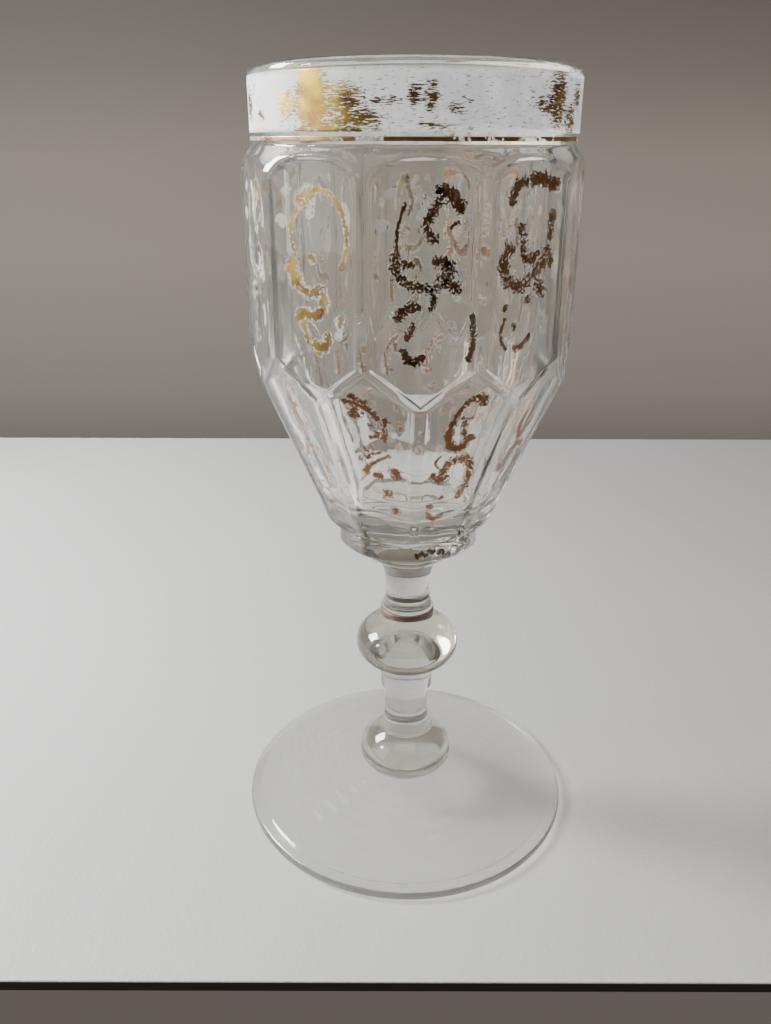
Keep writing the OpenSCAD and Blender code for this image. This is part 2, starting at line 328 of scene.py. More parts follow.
def panel_columns(z, radius):
    """Turns from the middle of an upper panel to the middle of a lower one, at one height."""
    lower = base_distance + lean_slope * (z - z_taper)
    edge = math.atan((lower / panel_distance - math.cos(HALF_PITCH)) / math.sin(HALF_PITCH))
    edge = min(max(edge, 0.0), HALF_PITCH)
    upright = math.asin(STRIP_HALF / radius)
    across = DIAGONAL_HALF / radius
    middle = math.sin(math.pi * edge / HALF_PITCH)
    half = upright + (across - upright) * middle
    start = max(edge - half, 0.35 * half)
    end = min(edge + half, HALF_PITCH - 0.35 * half)
    share = np.arange(COLUMNS_ON_PANEL) / COLUMNS_ON_PANEL
    left = start * (1 - (1 - share) ** 1.6)
    strip = start + (end - start) * np.arange(COLUMNS_ON_STRIP) / COLUMNS_ON_STRIP
    right = end + (HALF_PITCH - end) * share ** 1.6
    return np.concatenate([left, strip, right]), start, end


def bowl_row(radius, z):
    """Turns and radii of one row on the outside of the bowl."""
    offset, start, end = panel_columns(min(z, z_rim - 8), max(radius, BASE_RADIUS * 0.8))
    upper = panel_distance / np.cos(offset)
    lower = (base_distance + lean_slope * (z - z_taper)) / np.cos(HALF_PITCH - offset)
    cut_upper = np.maximum(radius - upper, 0)
    cut_lower = np.maximum(radius - lower, 0) * (z > z_taper - 4)
    cut = np.maximum(cut_upper, cut_lower)
    away = np.where(offset < start, (start - offset) * radius, 0)
    away = np.where(offset > end, (offset - end) * radius, away)
    sunk = smooth_step(away / STRIP_SLOPE) * smooth_step(cut / SHALLOW_CUT)
    row = radius - cut - PANEL_DEPTH * sunk
    turns, radii = [], []
    for k in range(PANELS):
        middle = 2 * HALF_PITCH * k
        turns += [middle + offset, middle + 2 * HALF_PITCH - offset_mirror(offset)]
        radii += [row, row_mirror(row, radius, z)]
    return np.concatenate(turns), np.concatenate(radii)


def offset_mirror(offset):
    """The second half of a pitch, from the lower panel's middle to the next upper one's."""
    return np.concatenate([[HALF_PITCH], offset[:0:-1]])


def row_mirror(row, radius, z):
    """Radii of the second half: the lower panel's middle first, then the first half reversed."""
    lower = base_distance + lean_slope * (z - z_taper)
    cut = max(radius - max(lower, 1), 0) * (z > z_taper - 4)
    sunk = smooth_step(cut / SHALLOW_CUT)
    return np.concatenate([[radius - cut - PANEL_DEPTH * sunk], row[:0:-1]])


rows = [bowl_row(r, z) for r, z in outer]
last_turns = rows[-1][0]
rows += [(last_turns, np.full(last_turns.shape, r)) for r, z in inner]
levels = np.concatenate([outer[:, 1], inner[:, 1]])
turn = np.array([r[0] for r in rows])
radius = np.array([r[1] for r in rows])
# The hand that shaped it left the inside of the wall a few hundredths of a millimetre uneven
uneven = (0.018 * np.sin(3 * turn + 0.06 * levels[:, None])
          + 0.012 * np.sin(7 * turn - 0.11 * levels[:, None] + 1.3))
within = np.concatenate([np.zeros(len(outer)), np.full(len(inner), INSIDE_UNEVEN)])
near_axis = np.clip(radius / 12, 0, 1)
radius = radius - uneven * within[:, None] * near_axis
bowl_glass = clear_glass("Bowl glass", (0.985, 0.975, 0.94), (0.52, 0.51, 0.48), 0.035)
bowl = gather("Bowl", radius, turn, levels[:, None], [bowl_glass, fused], True, False)
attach(bowl, "root")
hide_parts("bowl")

# ---------------------------------------------------------------------------
# Collar. A gather of the same glass with ten facets round its edge, worn at the corners, and a
# plain step ring under it. The bowl is fused on top, the stem below.
# ---------------------------------------------------------------------------
COLLAR_CORNER = 15.5
COLLAR_TURN = math.radians(-5)
COLLAR_EDGE = 3.2
COLLAR_BEVEL = 0.8
RING_RADIUS = 9.9
RING_HEIGHT = 2.4
UNDERSIDE_RADIUS = 12.6
FLARE_RADIUS = 8.6
FACET_ROUNDING = 0.12
SEGMENTS = 160

collar_low, collar_high = heights("collar")
edge_top = collar_high - COLLAR_BEVEL
collar_outline = [(FLARE_RADIUS, collar_low), (FLARE_RADIUS + 0.7, collar_low + 0.05),
                  (RING_RADIUS, collar_low + 0.4), (RING_RADIUS, collar_low + RING_HEIGHT),
                  (UNDERSIDE_RADIUS, collar_low + RING_HEIGHT + 0.1),
                  (COLLAR_CORNER, edge_top - COLLAR_EDGE),
                  (COLLAR_CORNER, edge_top), (SEAT_RADIUS + 0.2, collar_high),
                  (SEAT_RADIUS, collar_high)]
collar_outline = thin_out(soften(collar_outline, 0.3), 0.1, 0.5)
collar_outline[:, 1] = np.clip(collar_outline[:, 1], collar_low, collar_high)


def round_turns(rows):
    """Even turns round the axis for each row."""
    return np.broadcast_to(np.linspace(0, 2 * math.pi, SEGMENTS, endpoint=False), (rows, SEGMENTS))


turn = round_turns(len(collar_outline))
facet = 2 * HALF_PITCH
off_facet = (turn - COLLAR_TURN) % facet - facet / 2
flat = COLLAR_CORNER * math.cos(HALF_PITCH) / np.cos(off_facet)
plain = collar_outline[:, :1] + np.zeros_like(turn)
radius = -FACET_ROUNDING * np.logaddexp(-plain / FACET_ROUNDING, -flat / FACET_ROUNDING)
collar_glass = clear_glass("Collar glass", (0.72, 0.69, 0.61), (0.74, 0.73, 0.70), 0.03)
collar = gather("Collar", radius, turn, collar_outline[:, 1:], [collar_glass, fused], True, True)
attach(collar, "root")
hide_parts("collar")

# ---------------------------------------------------------------------------
# Stem with its two knops, and the foot. Five gathers of glass, each drawn out or pressed while
# hot and fused to the next, so that one soft outline runs from the foot up to the collar.
# ---------------------------------------------------------------------------
LAND_RADIUS = 6.0
LAND_HEIGHT = 3.1
UPPER_WAIST = 4.95
KNOP_RADIUS = 11.8
KNOP_HALF_HEIGHT = 7.15
DRUM_RADIUS = 6.05
DRUM_HEIGHT = 6.3
LOWER_WAIST = 5.1
FOOT_KNOP_RADIUS = 11.05
FOOT_KNOP_LINE = 3.2
FOOT_KNOP_TOP = 6.4
FOOT_KNOP_SEAT = 8.55
FOOT_EDGE = 1.2
FOOT_HOLLOW = 2.2
REST_WIDTH = 6.0
# Faint rings left by the turning of the foot, and a groove inside its rim. The depths are in
# millimetres, and the groove's place and half width are shares of the slope.
RING_DEPTH = 0.09
FOOT_GROOVE_DEPTH = 0.45
FOOT_GROOVE_AT = 0.045
FOOT_GROOVE_HALF = 0.016


def waist(low, middle, high, low_r, waist_r, high_r, steps=30):
    """A concave neck whose narrowest place is at the height called middle."""
    points = []
    for i in range(steps + 1):
        z = low + (high - low) * i / steps
        side = (middle - z) / (middle - low) if z < middle else (z - middle) / (high - middle)
        end = low_r if z < middle else high_r
        points.append((waist_r + (end - waist_r) * (1 - math.sqrt(max(1 - side * side * 0.9, 0)))
                       / (1 - math.sqrt(0.1)), z))
    return points


foot_radius = reach("foot")[0]
foot_top = heights("foot")[1]
foot_knop_top = heights("foot_knop")[1]
knop_low, knop_high = heights("knop")
stem_top = heights("upper_stem")[1]
rest = foot_radius - FOOT_EDGE
line = foot_top + FOOT_KNOP_LINE
cut = math.degrees(math.acos(FOOT_KNOP_SEAT / FOOT_KNOP_RADIUS))
cap = math.degrees(math.acos(FOOT_KNOP_TOP / FOOT_KNOP_RADIUS))
knop_line = knop_low + KNOP_HALF_HEIGHT * math.sqrt(1 - (DRUM_RADIUS / KNOP_RADIUS) ** 2)
drum_foot = knop_low - DRUM_HEIGHT


def foot_slope(t):
    """A point on the top of the foot, from its rim at 0 to its knop at 1."""
    rings = RING_DEPTH * (1 + math.sin(38 * t + 12 * t * t)) * math.sin(math.pi * t)
    groove = FOOT_GROOVE_DEPTH * math.exp(-((t - FOOT_GROOVE_AT) / FOOT_GROOVE_HALF) ** 2)
    plain = 2 * FOOT_EDGE + (foot_top - 2 * FOOT_EDGE) * t ** 1.4
    return rest - (rest - FOOT_KNOP_SEAT) * t, plain - rings - groove


stem = arc((rest, FOOT_EDGE), (FOOT_EDGE, FOOT_EDGE), -90, 80)
stem += [foot_slope(t) for t in np.linspace(0.01, 1, 120)]
stem += arc((0, line), (FOOT_KNOP_RADIUS, FOOT_KNOP_LINE / math.sin(math.radians(cut))), -cut, 0)
stem += arc((0, line), (FOOT_KNOP_RADIUS, (foot_knop_top - line) / math.sin(math.radians(cap))),
            0, cap)[1:]
stem += waist(foot_knop_top, foot_knop_top + 6.2, drum_foot, FOOT_KNOP_TOP, LOWER_WAIST,
              DRUM_RADIUS - 0.8)[1:]
stem += [(DRUM_RADIUS, drum_foot + 0.35), (DRUM_RADIUS, knop_low)]
low_angle = -math.degrees(math.acos(DRUM_RADIUS / KNOP_RADIUS))
high_angle = math.degrees(math.acos(LAND_RADIUS / KNOP_RADIUS))
stem += arc((0, knop_line), (KNOP_RADIUS, KNOP_HALF_HEIGHT), low_angle, high_angle, 48)[1:]
stem += [(LAND_RADIUS, knop_high + 0.01), (LAND_RADIUS, knop_high + LAND_HEIGHT)]
stem += waist(knop_high + LAND_HEIGHT, knop_high + LAND_HEIGHT + 5.2, stem_top, LAND_RADIUS,
              UPPER_WAIST, FLARE_RADIUS)[1:]
stem = soften(stem, 0.2)


def cut_gather(name, node, low, high, glass, seam_below=True, below=()):
    """The gather between two fused heights, as its own closed piece."""
    inside = (stem[:, 1] > low + 0.02) & (stem[:, 1] < high - 0.02)
    if not seam_below:
        inside = stem[:, 1] < high - 0.02
    rows = stem[inside]

    def ring(z):
        """The outline's point nearest to a fused face, put at that face's height."""
        i = int(np.argmin(np.abs(stem[:, 1] - z)))
        return (stem[i, 0], z)

    ends = [ring(low)] if seam_below else []
    outline = np.array([*below, *ends, *rows.tolist(), ring(high)])
    outline = thin_out(outline, 0.1, 0.45)
    turn = round_turns(len(outline))
    sway = 0.02 * np.sin(2 * turn + 0.2 * outline[:, 1:]) * np.clip(outline[:, :1] / 6, 0, 1)
    radius = outline[:, :1] - np.abs(sway)
    piece = gather(name, radius, turn, outline[:, 1:], [glass, fused], seam_below, True)
    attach(piece, "root")
    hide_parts(node)


stem_glass = clear_glass("Stem glass", (0.71, 0.70, 0.67), (0.72, 0.71, 0.69), 0.03)
knop_glass = clear_glass("Knop glass", (0.66, 0.625, 0.53), (0.62, 0.60, 0.55), 0.03)
foot_knop_glass = clear_glass("Foot knop glass", (0.52, 0.49, 0.415), (0.62, 0.60, 0.55), 0.03)
foot_glass = clear_glass("Foot glass", (0.84, 0.84, 0.83), (0.62, 0.62, 0.61), 0.09, 0.95)
cut_gather("Upper_stem", "upper_stem", knop_high, stem_top, stem_glass)
cut_gather("Knop", "knop", knop_low, knop_high, knop_glass)
cut_gather("Lower_stem", "lower_stem", foot_knop_top, knop_low, stem_glass)
cut_gather("Foot_knop", "foot_knop", foot_top, foot_knop_top, foot_knop_glass)
hollow = [(0.3, FOOT_HOLLOW)]
hollow += [(r, FOOT_HOLLOW * (1 - (r / (rest - REST_WIDTH)) ** 1.5))
           for r in np.linspace(1, rest - REST_WIDTH, 30)]
hollow += [(r, 0) for r in np.linspace(rest - REST_WIDTH + 0.5, rest - 0.3, 12)]
cut_gather("Foot", "foot", -1, foot_top, foot_glass, False, hollow)

# ---------------------------------------------------------------------------
# Gilding. Burnished gold leaf, fired on the outside of the glass in a film far thinner than a
# hair, and rubbed away by a century of washing. Where it's gone a matt white print stays.
# ---------------------------------------------------------------------------
FILM = 0.05
LIFT = 0.03

# Rubbed leaf: cover is 1 where the gold is whole and falls to 0 where it's gone
rubbed, rubbed_in, rubbed_out = new_group(
    "Rubbed leaf",
    [("Cover", "NodeSocketFloat", 1.0), ("Grain", "NodeSocketFloat", 900.0),
     ("Streak", "NodeSocketFloat", 1.0), ("Ragged", "NodeSocketFloat", 4.0)],
    [("Gold", "NodeSocketFloat"), ("Tone", "NodeSocketFloat"), ("Height", "NodeSocketFloat")])
place = rubbed.nodes.new("ShaderNodeNewGeometry").outputs["Position"]
squash = rubbed.nodes.new("ShaderNodeCombineXYZ")
squash.inputs[0].default_value = squash.inputs[1].default_value = 1
rubbed.links.new(rubbed_in.outputs["Streak"], squash.inputs[2])
drawn = rubbed.nodes.new("ShaderNodeVectorMath")
drawn.operation = "MULTIPLY"
rubbed.links.new(place, drawn.inputs[0])
rubbed.links.new(squash.outputs[0], drawn.inputs[1])
grain = noise(rubbed, drawn.outputs[0], 1.0, 4, 0.65)
rubbed.links.new(rubbed_in.outputs["Grain"], grain.node.inputs["Scale"])
patches = noise(rubbed, drawn.outputs[0], 380, 2, 0.5)
bite = math_node(rubbed, "SUBTRACT", grain, 0.49)
bite = math_node(rubbed, "MULTIPLY", bite, rubbed_in.outputs["Ragged"])
bite = math_node(rubbed, "ADD", bite, math_node(rubbed, "MULTIPLY", patches, 0.9))
left = math_node(rubbed, "SUBTRACT", rubbed_in.outputs["Cover"], bite)
left = scale_and_add(rubbed, left, 9.0, 0.5, True)
rubbed.links.new(left, rubbed_out.inputs["Gold"])
tone = noise(rubbed, place, 260, 3, 0.6)
rubbed.links.new(tone, rubbed_out.inputs["Tone"])
rubbed.links.new(grain, rubbed_out.inputs["Height"])


def colour_mix(tree, share, first, second):
    """A colour between two others, each of them a socket or a plain colour."""
    node = tree.nodes.new("ShaderNodeMix")
    node.data_type = "RGBA"
    tree.links.new(share, node.inputs[0])
    for socket, colour in zip(node.inputs[6:8], (first, second)):
        if isinstance(colour, bpy.types.NodeSocket):
            tree.links.new(colour, socket)
        else:
            socket.default_value = (*colour, 1)
    return node.outputs[2]


def gilding(name, bright, deep, print_colour, print_alpha, grain_scale, streak=1.0,
            roughness=(0.28, 0.45), painted_glow=0.2, ragged=4.0):
    """Worn gold over the matt print that it leaves on the glass. The print also gives off a fixed
    glow of its own colour: painted light standing in for light that the glass scatters onto it."""
    material, tree, shader = new_material(name)
    cover = tree.nodes.new("ShaderNodeAttribute")
    cover.attribute_name = "cover"
    print_left = tree.nodes.new("ShaderNodeAttribute")
    print_left.attribute_name = "print"
    leaf = tree.nodes.new("ShaderNodeGroup")
    leaf.node_tree = rubbed
    leaf.inputs["Grain"].default_value = grain_scale
    leaf.inputs["Streak"].default_value = streak
    leaf.inputs["Ragged"].default_value = ragged
    tree.links.new(cover.outputs["Fac"], leaf.inputs["Cover"])
    gold_left = leaf.outputs["Gold"]
    tone = scale_and_add(tree, leaf.outputs["Tone"], 3.0, -1.0, True)
    gold = colour_mix(tree, tone, deep, bright)
    tree.links.new(colour_mix(tree, gold_left, print_colour, gold), shader.inputs["Base Color"])
    # Painted light: where the gold is gone, the print glows with its own colour
    tree.links.new(colour_mix(tree, gold_left, print_colour, (0, 0, 0)),
                   shader.inputs["Emission Color"])
    shader.inputs["Emission Strength"].default_value = painted_glow
    tree.links.new(gold_left, shader.inputs["Metallic"])
    rough = tree.nodes.new("ShaderNodeMapRange")
    rough.inputs["From Min"].default_value = 0.3
    rough.inputs["From Max"].default_value = 0.7
    rough.inputs["To Min"].default_value = roughness[0]
    rough.inputs["To Max"].default_value = roughness[1]
    tree.links.new(leaf.outputs["Tone"], rough.inputs["Value"])
    matt = scale_and_add(tree, gold_left, -0.45, 0.45)
    tree.links.new(math_node(tree, "ADD", rough.outputs[0], matt), shader.inputs["Roughness"])
    faint = math_node(tree, "MULTIPLY", print_left.outputs["Fac"], print_alpha)
    faint = math_node(tree, "MULTIPLY", faint, math_node(tree, "ADD", leaf.outputs["Tone"], 0.5))
    alpha = math_node(tree, "MAXIMUM", faint, gold_left, True)
    tree.links.new(alpha, shader.inputs["Alpha"])
    raise_surface(tree, shader, leaf.outputs["Height"], 0.00002)
    return material


def film_piece(name, node, points, faces, cover, print_left, material, smooth=True):
    """A gold film as a mesh with its cover and its print kept as point attributes."""
    piece = new_piece(name, (np.array(points) * MM).tolist(), faces, [material])
    piece.data.polygons.foreach_set("use_smooth", np.full(len(faces), smooth))
    for label, values in (("cover", cover), ("print", print_left)):
        layer = piece.data.attributes.new(label, "FLOAT", "POINT")
        layer.data.foreach_set("value", np.array(values, np.float32))
    piece.data.update()
    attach(piece, "root")
    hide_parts(node)


def gilt_ring(name, node, radius, low, high, cover_at, material, steps=360, rows=28):
    """A closed thin ring round the axis. cover_at gives the gold left at a turn and a height."""
    levels = np.linspace(low, high, rows)
    loop = [(radius + LIFT, z) for z in levels] + [(radius + LIFT + FILM, z) for z in levels[::-1]]
    points, cover, left = [], [], []
    for i in range(steps):
        turn = 2 * math.pi * i / steps
        for r, z in loop:
            points.append((r * math.sin(turn), -r * math.cos(turn), z))
            gold, white = cover_at(turn, (z - low) / (high - low))
            cover.append(gold)
            left.append(white)
    size = len(loop)
    faces = []
    for i in range(steps):
        here, there = i * size, (i + 1) % steps * size
        for j in range(size):
            k = (j + 1) % size
            faces.append((here + j, here + k, there + k, there + j))
    film_piece(name, node, points, faces, cover, left, material)


# The broad band keeps its gold in a few rubbed patches. Each has the turn of its middle in
# degrees and its height as a share of the band, half its width and height in the same measures,
# and the gold left in its middle.
BAND_PATCHES = [
    (-36, 0.52, 8, 0.70, 1.5), (-25, 0.50, 9, 0.40, 0.98), (-22, 0.22, 13, 0.30, 0.92),
    (-46, 0.45, 6, 0.32, 0.95), (-30, 0.05, 18, 0.14, 0.92), (-3.5, 0.55, 2.6, 0.24, 0.98),
    (1.5, 0.55, 3.2, 0.30, 0.95), (-12, 0.48, 7, 0.10, 0.72), (9, 0.38, 4, 0.12, 0.72),
    (13, 0.50, 2, 0.06, 0.7), (3, 0.10, 8, 0.08, 0.6), (48, 0.60, 6.5, 0.62, 0.98),
    (42, 0.46, 7, 0.22, 0.86), (57, 0.25, 6, 0.36, 0.85), (63, 0.62, 5, 0.3, 0.8),
    (-75, 0.50, 6, 0.45, 0.85), (-62, 0.30, 3, 0.12, 0.75), (96, 0.4, 9, 0.4, 0.9),
    (128, 0.6, 12, 0.3, 0.85), (160, 0.45, 8, 0.5, 1.0), (196, 0.3, 10, 0.3, 0.9),
    (228, 0.6, 9, 0.35, 0.95), (262, 0.5, 7, 0.5, 0.85)]


def band_cover(turn, share):
    """Gold and print left on the band. The print thins at its two edges."""
    best = 0.0
    degrees = math.degrees(turn)
    for middle, level, wide, tall, most in BAND_PATCHES:
        away = (degrees - middle + 180) % 360 - 180
        distance = math.hypot(away / wide, (share - level) / tall)
        best = max(best, most * max(0.0, 1 - distance ** 1.8))
    edge = min(share, 1 - share)
    return best, min(1.0, 0.25 + edge * 9)


def line_cover(turn, share):
    """Gold and print left on the fine line, which comes and goes."""
    wave = math.sin(7 * turn + 1) + math.sin(13 * turn + 2.2) + math.sin(29 * turn)
    return 0.74 + 0.22 * wave, 0.6


def ring_cover(turn, share):
    """Gold and print left on the stem's ring, nearly whole."""
    return 0.95 + 0.1 * math.sin(5 * turn), 0.4


# The band's print glows strongly with painted light
band_gold = gilding("Band gold", (0.70, 0.49, 0.08), (0.34, 0.18, 0.10), (0.76, 0.76, 0.77),
                    print_alpha=0.92, grain_scale=900, streak=6.0, roughness=(0.26, 0.4),
                    painted_glow=0.62)
line_gold = gilding("Line gold", (0.62, 0.38, 0.15), (0.34, 0.20, 0.10), (0.85, 0.84, 0.83),
                    print_alpha=0.35, grain_scale=1600, streak=0.6)
ring_gold = gilding("Stem ring gold", (0.34, 0.22, 0.16), (0.20, 0.13, 0.11),
                    (0.80, 0.79, 0.78), print_alpha=0.3, grain_scale=1600,
                    roughness=(0.4, 0.55))
for node, cover_at, material, radius in (
        ("rim_gilt_band", band_cover, band_gold, RIM_RADIUS),
        ("rim_gilt_line", line_cover, line_gold, RIM_RADIUS),
        ("stem_gilt_ring", ring_cover, ring_gold, LAND_RADIUS)):
    low, high = heights(node)
    gilt_ring(node.capitalize(), node, radius, low, high, cover_at, material,
              rows=28 if node == "rim_gilt_band" else 6)

# ---------------------------------------------------------------------------
# Scrolls. One painted motif of gilded C and S scrolls, leaves and crescents on each panel, all
# by the same hand: three drawings on the upright panels and two on the leaning ones, each worn
# in its own way. A stroke is a width and points, in millimetres on the flat.
# ---------------------------------------------------------------------------
UPPER_SCROLLS = [
    [(1.2, [(2.0, 12.6), (2.7, 11.6), (2.2, 10.2), (1.1, 8.7), (0.3, 7.1), (0.9, 5.7), (2.1, 4.6)]),
     (1.5, [(2.4, 12.2), (4.0, 11.8), (5.2, 10.7), (5.8, 9.2)]),
     (0.4, [(5.6, 7.6), (4.6, 6.8), (4.2, 6.4)]),
     (0.4, [(-2.9, 10.4), (-3.7, 8.3), (-4.2, 6.5), (-4.4, 4.5), (-4.5, 2.9)]),
     (1.2, [(-4.5, 2.6), (-4.4, -0.4), (-2.9, -2.0), (-0.7, -2.8), (1.5, -3.0), (3.4, -2.2)]),
     (1.7, [(3.2, -2.0), (4.3, -0.6), (4.1, 0.9)]),
     (1.1, [(4.2, 1.0), (3.2, 1.5), (1.8, 1.3)]),
     (1.3, [(3.4, -2.1), (4.8, -2.4), (5.8, -3.4)]),
     (0.9, [(1.4, -3.2), (1.8, -5.0), (1.5, -6.4)]),
     (0.8, [(-3.4, 1.3), (-2.7, 0.8), (-1.7, 0.9)]),
     (1.3, [(-4.1, -8.0), (-3.6, -6.8), (-2.2, -6.1), (-0.5, -6.0)]),
     (0.8, [(-1.3, -8.8), (-2.0, -10.2), (-2.6, -11.3)]),
     (1.1, [(-3.1, -13.1), (-2.7, -14.5), (-1.2, -15.2), (0.3, -14.3)]),
     (0.7, [(8.4, -7.2), (8.6, -10.2), (8.6, -13.0), (7.9, -14.9)])],
    [(1.3, [(-4.4, 10.2), (-4.2, 11.6), (-3.1, 12.9), (-1.2, 13.6)]),
     (1.5, [(-0.2, 13.9), (2.2, 13.7), (4.4, 13.1), (6.2, 12.7)]),
     (1.2, [(5.4, 8.6), (5.2, 6.4), (5.0, 4.2)]),
     (1.6, [(-3.7, 2.9), (-4.8, 3.0), (-5.6, 1.8), (-5.5, -0.4), (-4.2, -2.4), (-1.6, -3.3),
            (0.8, -2.2), (2.6, -0.8), (4.0, 0.8), (4.5, 2.6)]),
     (1.4, [(-2.1, 6.6), (-1.7, 5.4), (-1.3, 4.6)]),
     (1.1, [(-1.3, 4.4), (-1.3, 2.8), (-0.6, 1.2), (0.8, 1.0), (2.4, 2.0)]),
     (0.8, [(5.6, 1.4), (5.8, 0.2), (5.4, -0.6)]),
     (1.7, [(2.6, -2.8), (3.4, -4.2), (3.8, -5.4)]),
     (1.2, [(0.5, -5.4), (0.8, -6.0)]),
     (0.6, [(-4.4, -6.2), (-5.0, -7.1)]),
     (0.6, [(-4.7, -8.6), (-5.4, -10.6), (-5.2, -12.4), (-4.0, -13.8)]),
     (0.9, [(-2.8, -9.9), (-2.2, -10.3)]),
     (0.9, [(-2.2, -13.8), (-0.8, -13.7), (0.6, -13.0), (1.4, -11.9)])],
    [(1.6, [(-2.6, 9.6), (-1.8, 10.9), (0.3, 11.7)]),
     (0.6, [(0.4, 12.1), (3.4, 11.6), (5.6, 9.8), (6.9, 6.6), (7.0, 3.2), (5.8, -0.2)]),
     (0.5, [(-3.0, 9.0), (-4.4, 6.6), (-4.6, 4.0), (-3.8, 1.6)]),
     (0.9, [(-0.8, 1.4), (0.4, 0.8)]),
     (1.7, [(-4.6, 0.4), (-4.5, -1.4), (-3.4, -3.2)]),
     (1.2, [(-3.4, -3.2), (-1.8, -4.4), (0.0, -4.6), (1.6, -3.6)]),
     (1.3, [(1.4, -3.6), (2.2, -5.4), (1.9, -7.2)]),
     (1.2, [(-3.8, -9.2), (-2.4, -8.0), (-0.4, -8.4), (1.6, -7.6)]),
     (0.8, [(5.6, -8.2), (5.5, -9.6)]),
     (0.9, [(-2.9, -9.8), (-1.9, -11.4), (-1.5, -13.0)]),
     (1.2, [(2.9, -11.2), (2.6, -12.8), (1.2, -13.8), (-0.2, -13.0)]),
     (0.6, [(0.2, -14.6), (1.4, -15.0)])]]
LOWER_SCROLLS = [
    [(1.3, [(2.6, 11.4), (2.3, 12.6), (0.8, 13.2)]),
     (0.8, [(0.8, 13.2), (-1.0, 11.8), (-2.2, 9.6), (-2.8, 7.2)]),
     (1.1, [(-2.8, 7.2), (-3.0, 4.4), (-2.0, 2.2), (-0.6, 1.5), (0.8, 2.6), (1.7, 4.2)]),
     (0.6, [(-1.1, 8.7), (0.0, 8.2), (1.0, 8.7)]),
     (0.8, [(-0.3, 7.9), (-0.1, 5.4), (0.7, 3.8)]),
     (0.4, [(-3.7, 0.0), (-4.5, -1.5), (-3.6, -2.8)]),
     (1.3, [(-4.6, -4.6), (-2.9, -6.1), (-1.3, -5.6)]),
     (1.2, [(-2.6, -4.6), (-1.9, -2.2), (0.4, -1.2), (2.3, -1.7), (3.0, -4.4), (2.8, -7.8),
            (1.9, -11.2)]),
     (0.7, [(-1.9, -11.0), (-1.4, -10.6)]),
     (0.9, [(-4.2, -12.6), (-3.2, -13.1)]),
     (0.8, [(-3.9, -14.6), (-3.2, -16.0), (-1.8, -16.3), (-0.6, -15.4)])],
    [(1.1, [(-3.0, 13.4), (-1.9, 12.6), (-0.4, 11.9)]),
     (0.9, [(-4.4, 12.0), (-2.4, 11.6), (-0.2, 10.6), (1.6, 8.6)]),
     (1.5, [(-2.6, 10.4), (-2.8, 8.9)]),
     (1.0, [(2.9, 8.8), (2.5, 6.0), (2.2, 3.6)]),
     (0.5, [(-1.4, 9.6), (-1.0, 9.5)]),
     (0.6, [(-0.4, 7.2), (0.2, 7.1)]),
     (0.8, [(-0.3, 4.2), (0.9, 4.6), (1.2, 5.4)]),
     (1.0, [(-1.9, 1.4), (-1.5, 0.3), (-1.2, -0.8)]),
     (0.4, [(-1.0, 0.1), (0.4, 0.4), (1.4, 0.9)]),
     (0.9, [(-2.3, -5.0), (-1.8, -3.2), (-0.4, -2.0)]),
     (0.5, [(-0.4, -1.9), (1.2, -0.9), (3.0, 0.2)]),
     (1.5, [(-0.4, -5.2), (0.5, -5.4)]),
     (1.4, [(3.4, -3.4), (3.8, -5.4)]),
     (1.4, [(1.1, -10.0), (2.0, -9.2)]),
     (1.2, [(2.2, -14.8), (2.8, -13.6)])]]

# Strokes that have lost all their gold, so that only the matt print is left
UPPER_GHOSTS = [
    (0.9, [(-7.2, 7.6), (-6.6, 6.8), (-5.8, 7.2)]), (0.7, [(-6.0, 11.4), (-4.6, 12.4)]),
    (0.8, [(-1.4, 12.4), (-0.2, 11.2), (0.0, 9.2), (-0.8, 7.8)]),
    (0.6, [(6.6, 10.0), (7.3, 8.0), (6.9, 5.6)]), (0.7, [(4.6, -8.4), (5.4, -10.0), (4.9, -11.8)])]
LOWER_GHOSTS = [
    (0.7, [(3.2, 7.6), (4.1, 5.8), (3.6, 3.8)]), (0.6, [(-1.2, -8.2), (-0.2, -9.8)])]

# Across a stroke, in half widths: where its lines of points lie, what share of its thickness
# each has, and how much gold it keeps
STROKE_ACROSS = [-1.45, -0.72, 0, 0.72, 1.45]
STROKE_DOME = [0.9, 1, 1, 1, 0.9]
STROKE_COVER = [0.0, 0.66, 1.05, 0.66, 0.0]
STROKE_THICKNESS = 0.3 * FILM
STROKE_SPREAD = 0.7
# Each end is drawn out by a share of the stroke's width, and is narrower and thinner in gold
END_REACH, END_WIDTH, END_GOLD = 0.42, 0.45, 0.6
# How much of the print shows under gold, at a stroke's edge, and where no gold is left
PRINT_UNDER, PRINT_AT_EDGE, PRINT_ALONE = 0.7, 0.35, 0.6
MOST_GOLD = 1.25


def through(points, steps=7):
    """A smooth line through the points, as a brush draws it."""
    points = [np.array(p, float) for p in points]
    ends = [2 * points[0] - points[1], *points, 2 * points[-1] - points[-2]]
    line = []
    for a, b, c, d in zip(ends, ends[1:], ends[2:], ends[3:]):
        for i in range(steps):
            t = i / steps
            line.append(0.5 * (2 * b + (c - a) * t + (2 * a - 5 * b + 4 * c - d) * t ** 2
                               + (3 * b - a - 3 * c + d) * t ** 3))
    line.append(points[-1])
    return np.array(line)


